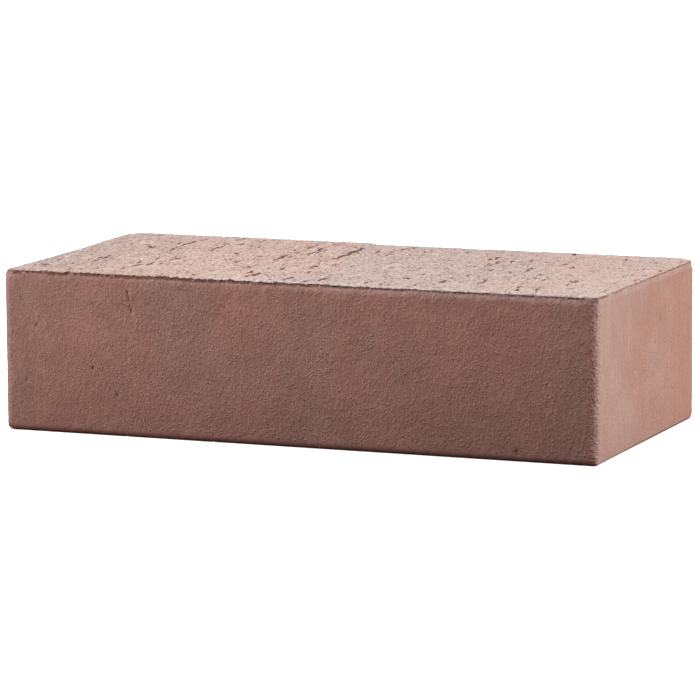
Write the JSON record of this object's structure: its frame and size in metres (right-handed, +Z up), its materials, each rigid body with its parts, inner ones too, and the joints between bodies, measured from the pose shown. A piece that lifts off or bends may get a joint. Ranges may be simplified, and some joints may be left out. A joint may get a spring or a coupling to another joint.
{
  "type": "clay brick",
  "caption": "Solid fired clay building brick: a plain rectangular block with smooth pebbled side faces, rough wire-cut bed faces and rounded upright edges, laid in mortar.",
  "frame": {"origin": "middle of the lower bed face, on the surface that the brick lies on", "axes": "+X along the length, +Y across the width towards the back stretcher face, +Z up through the height, from the lower wire-cut bed face to the upper one"},
  "size_m": [0.25, 0.12, 0.065],
  "materials": {
    "fired_clay": "matte"
  },
  "bodies": {
    "root": {"brick": "fired_clay"}
  },
  "joints": []
}
